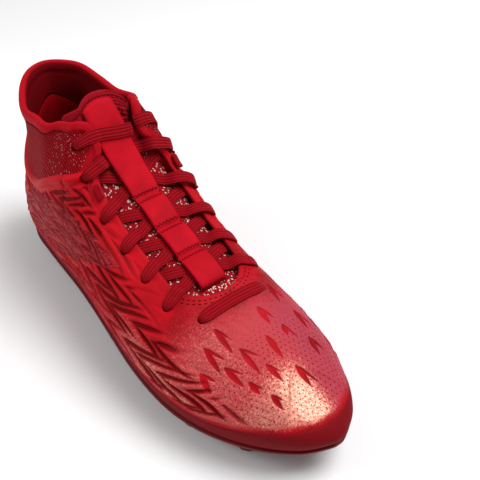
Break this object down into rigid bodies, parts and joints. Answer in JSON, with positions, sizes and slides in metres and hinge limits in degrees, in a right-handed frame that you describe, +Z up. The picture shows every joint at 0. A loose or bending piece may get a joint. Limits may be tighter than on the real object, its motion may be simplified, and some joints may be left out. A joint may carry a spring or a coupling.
{
  "type": "american football cleat",
  "caption": "Mid-cut american football cleat for the right foot, with an embossed shell, a knitted collar, crossed flat laces under a strap and a studded outsole.",
  "frame": {"origin": "middle of the cleat's box, on the floor that its studs stand on", "axes": "+X towards the toe, +Y towards the inner side of the foot, +Z up"},
  "size_m": [0.2974, 0.0956, 0.1422],
  "materials": {
    "shell": "coated embossed textile, satin with a pearly toe",
    "collar": "knit",
    "outsole": "satin",
    "insole": "matt textile",
    "tongue": "mesh",
    "strap": "smooth matt",
    "lace": "ribbed weave"
  },
  "bodies": {
    "root": {"shell": "shell", "collar": "collar", "outsole": "outsole", "insole": "insole", "tongue": "tongue", "strap": "strap", "lace_bar": "lace", "lace_crossing_1": "lace", "lace_crossing_2": "lace", "lace_crossing_3": "lace", "lace_crossing_4": "lace", "lace_crossing_5": "lace", "lace_top": "lace", "lace_loop": "lace", "lace_end_outer": "lace", "lace_end_inner": "lace"}
  },
  "joints": []
}
